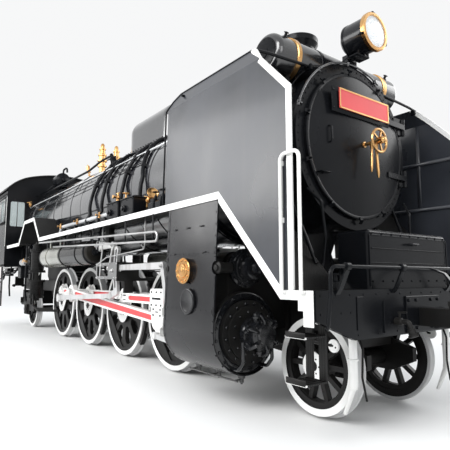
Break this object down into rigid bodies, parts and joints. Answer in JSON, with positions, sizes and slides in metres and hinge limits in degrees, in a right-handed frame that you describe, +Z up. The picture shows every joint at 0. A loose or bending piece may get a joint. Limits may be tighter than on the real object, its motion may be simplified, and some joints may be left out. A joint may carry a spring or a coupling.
{
  "type": "steam locomotive",
  "caption": "Black tender steam engine with eight coupled wheels, carrying wheels before and behind, smoke deflectors, front heater, cab and working joints.",
  "frame": {"origin": "middle of the bounding box in plan, at the lowest point of the wheel flanges", "axes": "+X to the front of the engine, +Y to its left side, +Z up"},
  "size_m": [12.7, 2.874, 4.008],
  "materials": {
    "black_enamel": "gloss black paint",
    "running_gear_black": "satin black paint with a film of oil",
    "polished_steel": "polished steel with red and white painted edges",
    "brass": "polished brass",
    "red_plate": "red painted plate with a brass border"
  },
  "bodies": {
    "root": {"air_compressor": "black_enamel", "air_reservoir_left": "black_enamel", "air_reservoir_right": "black_enamel", "ash_pan": "running_gear_black", "backhead": "black_enamel", "boiler": "black_enamel", "brake_gear": "running_gear_black", "cab_floor": "black_enamel", "cab_front": "black_enamel", "cab_roof": "black_enamel", "cab_side_left": "black_enamel", "cab_side_right": "black_enamel", "chimney": "black_enamel", "crosshead_left": "polished_steel", "crosshead_right": "polished_steel", "cylinder_jacket_left": "black_enamel", "cylinder_jacket_right": "black_enamel", "cylinder_left": "black_enamel", "cylinder_right": "black_enamel", "deck_box": "black_enamel", "deflector_left": "black_enamel", "deflector_right": "black_enamel", "dome": "black_enamel", "drawbar": "running_gear_black", "feed_pump": "black_enamel", "feedwater_heater": "black_enamel", "footsteps": "running_gear_black", "front_beam": "black_enamel", "front_coupler": "running_gear_black", "front_deck": "black_enamel", "headlamp": "black_enamel", "main_frame": "running_gear_black", "main_rod_left": "polished_steel", "main_rod_right": "polished_steel", "motion_bracket_left": "running_gear_black", "motion_bracket_right": "running_gear_black", "running_board_left": "black_enamel", "running_board_right": "black_enamel", "saddle": "running_gear_black", "safety_valves": "brass", "slide_bars_left": "polished_steel", "slide_bars_right": "polished_steel", "smokebox": "black_enamel", "truck_pivots": "running_gear_black", "valve_gear_left": "polished_steel", "valve_gear_right": "polished_steel"},
    "leading_truck": {"leading_truck": "running_gear_black"},
    "leading_wheelset": {"leading_wheels": "running_gear_black"},
    "trailing_truck": {"trailing_truck": "running_gear_black"},
    "trailing_wheelset": {"trailing_wheels": "running_gear_black"},
    "coupled_wheelset_1": {"coupled_wheels_1": "running_gear_black"},
    "coupled_wheelset_2": {"coupled_wheels_2": "running_gear_black"},
    "coupled_wheelset_3": {"coupled_wheels_3": "running_gear_black"},
    "coupled_wheelset_4": {"coupled_wheels_4": "running_gear_black"},
    "side_rod_right": {"side_rod_right": "polished_steel"},
    "side_rod_left": {"side_rod_left": "polished_steel"},
    "smokebox_door": {"smokebox_door": "black_enamel", "number_plate": "red_plate", "hand_wheel": "brass"},
    "coupler_knuckle": {"knuckle": "running_gear_black"}
  },
  "joints": [
    {"name": "leading_truck_swivel", "type": "hinge", "parent": "root", "child": "leading_truck", "pos_m": [3.76, 0, 0.478], "axis": [0, 0, 1], "range_deg": [-2.5, 2.5]},
    {"name": "leading_wheels_turn", "type": "hinge", "parent": "leading_truck", "child": "leading_wheelset", "pos_m": [5.11, 0, 0.458], "axis": [0, 1, 0], "continuous": true},
    {"name": "trailing_truck_swivel", "type": "hinge", "parent": "root", "child": "trailing_truck", "pos_m": [-3.06, 0, 0.478], "axis": [0, 0, 1], "range_deg": [-2.5, 2.5]},
    {"name": "trailing_wheels_turn", "type": "hinge", "parent": "trailing_truck", "child": "trailing_wheelset", "pos_m": [-4.46, 0, 0.458], "axis": [0, 1, 0], "continuous": true},
    {"name": "main_driver_turn", "type": "hinge", "parent": "root", "child": "coupled_wheelset_3", "pos_m": [-0.51, 0, 0.728], "axis": [0, 1, 0], "continuous": true},
    {"name": "coupled_wheels_1_turn", "type": "hinge", "parent": "root", "child": "coupled_wheelset_1", "pos_m": [2.59, 0, 0.728], "axis": [0, 1, 0], "continuous": true},
    {"name": "coupled_wheels_2_turn", "type": "hinge", "parent": "root", "child": "coupled_wheelset_2", "pos_m": [1.04, 0, 0.728], "axis": [0, 1, 0], "continuous": true},
    {"name": "coupled_wheels_4_turn", "type": "hinge", "parent": "root", "child": "coupled_wheelset_4", "pos_m": [-2.06, 0, 0.728], "axis": [0, 1, 0], "continuous": true},
    {"name": "side_rod_right_pin", "type": "hinge", "parent": "coupled_wheelset_3", "child": "side_rod_right", "pos_m": [-0.28076, -0.76, 0.96538], "axis": [0, 1, 0], "continuous": true},
    {"name": "side_rod_left_pin", "type": "hinge", "parent": "coupled_wheelset_3", "child": "side_rod_left", "pos_m": [-0.74738, 0.76, 0.95724], "axis": [0, 1, 0], "continuous": true},
    {"name": "smokebox_door_hinge", "type": "hinge", "parent": "root", "child": "smokebox_door", "pos_m": [5.19, 0.8, 2.553], "axis": [0, 0, 1], "range_deg": [0, 110]},
    {"name": "knuckle_pin", "type": "hinge", "parent": "root", "child": "coupler_knuckle", "pos_m": [6.19, -0.095, 0.908], "axis": [0, 0, -1], "range_deg": [0, 50]}
  ],
  "couplings": [
    {"joint": "coupled_wheels_1_turn", "follows": "main_driver_turn", "ratio": 1},
    {"joint": "coupled_wheels_2_turn", "follows": "main_driver_turn", "ratio": 1},
    {"joint": "coupled_wheels_4_turn", "follows": "main_driver_turn", "ratio": 1},
    {"joint": "side_rod_right_pin", "follows": "main_driver_turn", "ratio": -1},
    {"joint": "side_rod_left_pin", "follows": "main_driver_turn", "ratio": -1}
  ]
}
